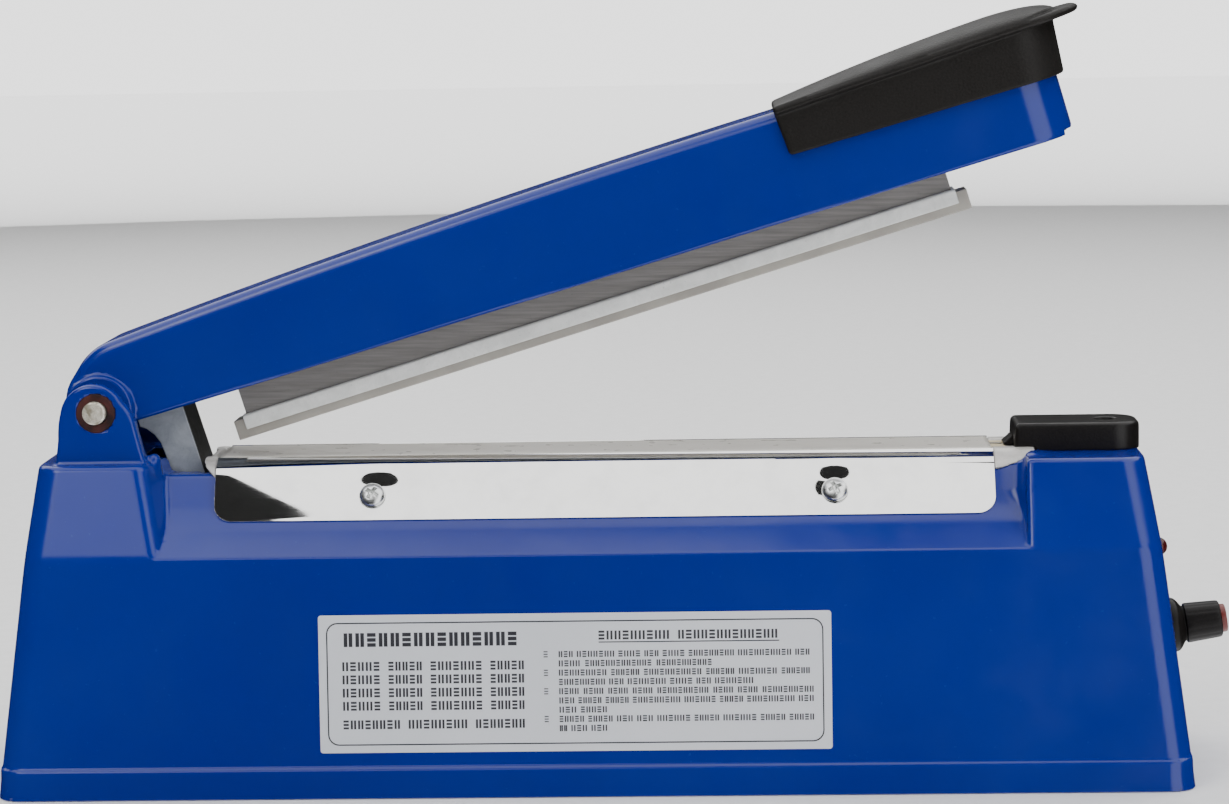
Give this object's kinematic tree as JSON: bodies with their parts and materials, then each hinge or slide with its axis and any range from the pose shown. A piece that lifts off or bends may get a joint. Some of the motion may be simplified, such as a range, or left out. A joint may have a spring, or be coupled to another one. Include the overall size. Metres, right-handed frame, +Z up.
{
  "type": "impulse heat sealer",
  "caption": "Bench impulse heat sealer: plastic base with a heated bed between polished clamp plates, hinged press arm with sprung press bar, end knob for the heating time.",
  "frame": {"origin": "centre of the base's flat underside, with the arm open against its stop", "axes": "+X along the base from the hinge to the knob end, +Y to the rear, +Z up"},
  "size_m": [0.3334, 0.0813, 0.2079],
  "materials": {
    "blue_housing": "glossy moulded ABS",
    "black_plastic": "fine-grained moulded plastic",
    "rubber": "matt rubber",
    "polished_plate": "mirror-polished sheet",
    "zinc_steel": "zinc-plated steel",
    "nickel": "nickel-plated screws and pins",
    "aluminium": "drawn, lightly mottled",
    "silicone": "translucent grey-beige silicone",
    "carrier_steel": "brownish grey plated steel",
    "ptfe": "PTFE-coated glass cloth",
    "glass_cloth": "woven glass tape",
    "nichrome": "drawn ribbon",
    "phenolic": "reddish brown fibre board",
    "brass": "machined",
    "label": "printed silver-grey film",
    "laminations": "varnished laminations",
    "winding": "enamelled copper under tape",
    "bobbin": "moulded nylon",
    "board_green": "solder-masked board",
    "component_blue": "moulded case",
    "component_black": "moulded case",
    "red_plastic": "red moulded plastic",
    "red_lens": "dark red moulded lens",
    "neon_glass": "small neon lamp"
  },
  "bodies": {
    "base": {"base_housing": "blue_housing", "bottom_plate": "black_plastic", "bottom_screws": "nickel", "rubber_feet": "rubber", "cord_gland": "rubber", "hinge_bushes": "phenolic", "hinge_pin": "nickel", "pin_clip": "zinc_steel", "bed": "aluminium", "bed_screws": "zinc_steel", "insulation_strip": "glass_cloth", "heating_element": "nichrome", "ptfe_cloth": "ptfe", "electrode_insulators": "phenolic", "electrode_blocks": "brass", "front_plate": "polished_plate", "rear_plate": "polished_plate", "plate_screws": "nickel", "end_cap": "black_plastic", "end_cap_screw": "zinc_steel", "label_plate": "label", "transformer_core": "laminations", "transformer_bobbin": "bobbin", "transformer_coil": "winding", "transformer_bracket": "zinc_steel", "transformer_screws": "nickel", "timer_board": "board_green", "board_standoffs": "bobbin", "board_screws": "nickel", "relay": "component_blue", "capacitor": "component_black", "timer_chip": "component_black", "terminal_block": "board_green", "potentiometer": "zinc_steel", "pot_nut": "nickel", "indicator_lens": "red_lens", "indicator_lamp": "neon_glass", "micro_switch": "component_black", "switch_bracket": "zinc_steel", "switch_screws": "nickel", "spring_bracket": "zinc_steel", "return_spring": "zinc_steel"},
    "arm": {"arm_shell": "blue_housing", "arm_frame": "zinc_steel", "lever_leg": "zinc_steel", "arm_screws": "nickel", "grip": "black_plastic", "grip_screws": "nickel", "bar_springs": "zinc_steel"},
    "press_bar": {"bar_carrier": "carrier_steel", "carrier_screws": "nickel", "guide_pins": "nickel", "press_bar": "aluminium", "silicone_strip": "silicone"},
    "time_knob": {"pot_shaft": "zinc_steel", "knob": "black_plastic", "knob_cap": "red_plastic"},
    "switch_plunger": {"switch_plunger": "red_plastic"}
  },
  "joints": [
    {"name": "arm_hinge", "type": "hinge", "parent": "base", "child": "arm", "pos_m": [-0.133, 0, 0.103], "axis": [0, 1, 0], "range_deg": [0, 16.85], "stiffness_Nm_per_rad": 1.2, "springref_deg": -42.97, "deforming": ["return_spring"]},
    {"name": "bar_slide", "type": "slide", "parent": "arm", "child": "press_bar", "axis": [-0.2899, 0, 0.9571], "range_m": [0, 0.00675], "deforming": ["bar_springs"]},
    {"name": "knob_turn", "type": "hinge", "parent": "base", "child": "time_knob", "pos_m": [0.15584, 0, 0.0372], "axis": [0.9916, 0, 0.1296], "range_deg": [-135, 135]},
    {"name": "plunger_slide", "type": "slide", "parent": "base", "child": "switch_plunger", "axis": [-1, 0, 0], "range_m": [0, 0.0012]}
  ],
  "couplings": [
    {"joint": "bar_slide", "follows": "arm_hinge", "m_per_rad": 0.02295},
    {"joint": "plunger_slide", "follows": "arm_hinge", "m_per_rad": 0.00408}
  ]
}
